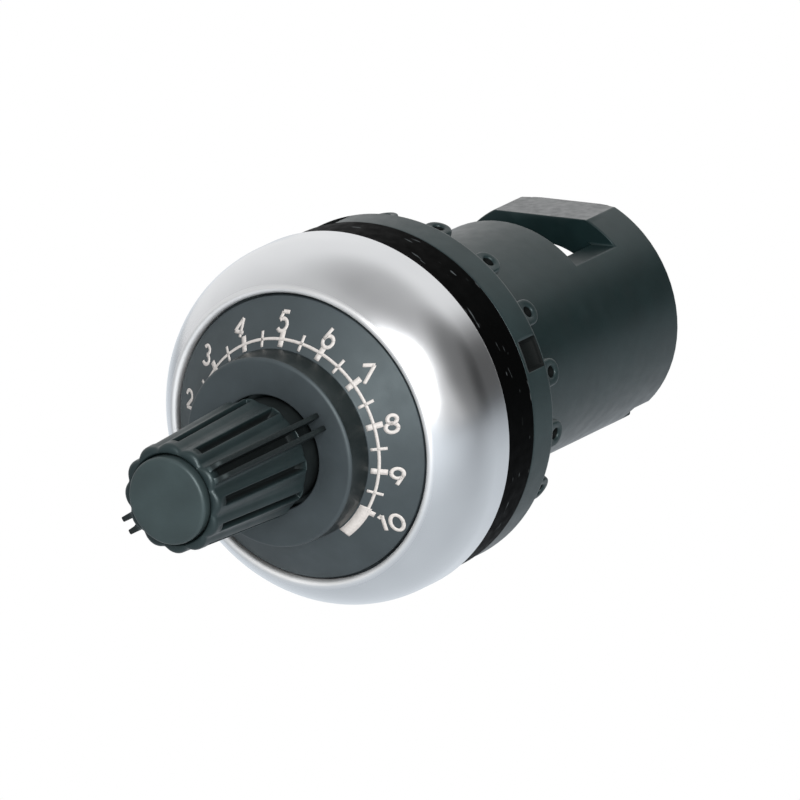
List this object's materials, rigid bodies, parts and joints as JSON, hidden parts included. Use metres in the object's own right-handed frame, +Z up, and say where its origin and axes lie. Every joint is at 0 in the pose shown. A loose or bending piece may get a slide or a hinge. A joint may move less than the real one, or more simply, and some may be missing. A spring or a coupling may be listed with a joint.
{
  "type": "panel mount potentiometer",
  "caption": "Panel mount potentiometer: fluted pointer knob on a conical dial, satin bezel, rubber panel seal, ring nut and a tubular housing that holds the carbon track and wiper.",
  "frame": {"origin": "on the axis of the shaft, in the plane of the seal's rear face, which lies on the front of the panel", "axes": "+Y along the axis to the rear, +Z up with the middle of the scale at the top, +X to the right seen from the front"},
  "size_m": [0.0296, 0.0593, 0.0296],
  "materials": {
    "housing_plastic": "fine moulded texture",
    "seal_rubber": "smooth",
    "carrier_plastic": "moulded",
    "dial_plastic": "fine moulded texture",
    "bezel_satin": "satin silver",
    "turned_brass": "turned",
    "plain_steel": "plain",
    "phenolic_board": "laminate",
    "carbon_film": "printed",
    "plated_contact": "plated",
    "tinned_brass": "tinned",
    "knob_plastic": "satin moulded",
    "nut_plastic": "satin moulded"
  },
  "bodies": {
    "housing": {"barrel_housing": "housing_plastic", "panel_seal": "seal_rubber", "front_carrier": "carrier_plastic", "dial_plate": "dial_plastic", "bezel_ring": "bezel_satin", "stem_seal": "seal_rubber", "bush": "turned_brass", "bush_washer": "plain_steel", "bush_nut": "turned_brass", "pot_plate": "plain_steel", "pot_case": "plain_steel", "track_wafer": "phenolic_board", "carbon_track": "carbon_film", "collector_ring": "plated_contact", "terminal_start": "tinned_brass", "terminal_wiper": "tinned_brass", "terminal_end": "tinned_brass", "terminal_rivets": "turned_brass"},
    "knob_and_shaft": {"knob": "knob_plastic", "knob_cap": "knob_plastic", "collet_sleeve": "turned_brass", "collet_screw": "plain_steel", "shaft": "plain_steel", "shaft_circlip": "plain_steel", "wiper_carrier": "carrier_plastic", "wiper_spring": "turned_brass"},
    "mounting_nut": {"ring_nut": "nut_plastic"}
  },
  "joints": [
    {"name": "knob_turn", "type": "hinge", "parent": "housing", "child": "knob_and_shaft", "pos_m": [0, -0.015, 0], "axis": [0, 1, 0], "range_deg": [-14.5, 255.5]},
    {"name": "nut_travel", "type": "slide", "parent": "housing", "child": "mounting_nut", "axis": [0, 1, 0], "range_m": [0, 0.0045]}
  ]
}
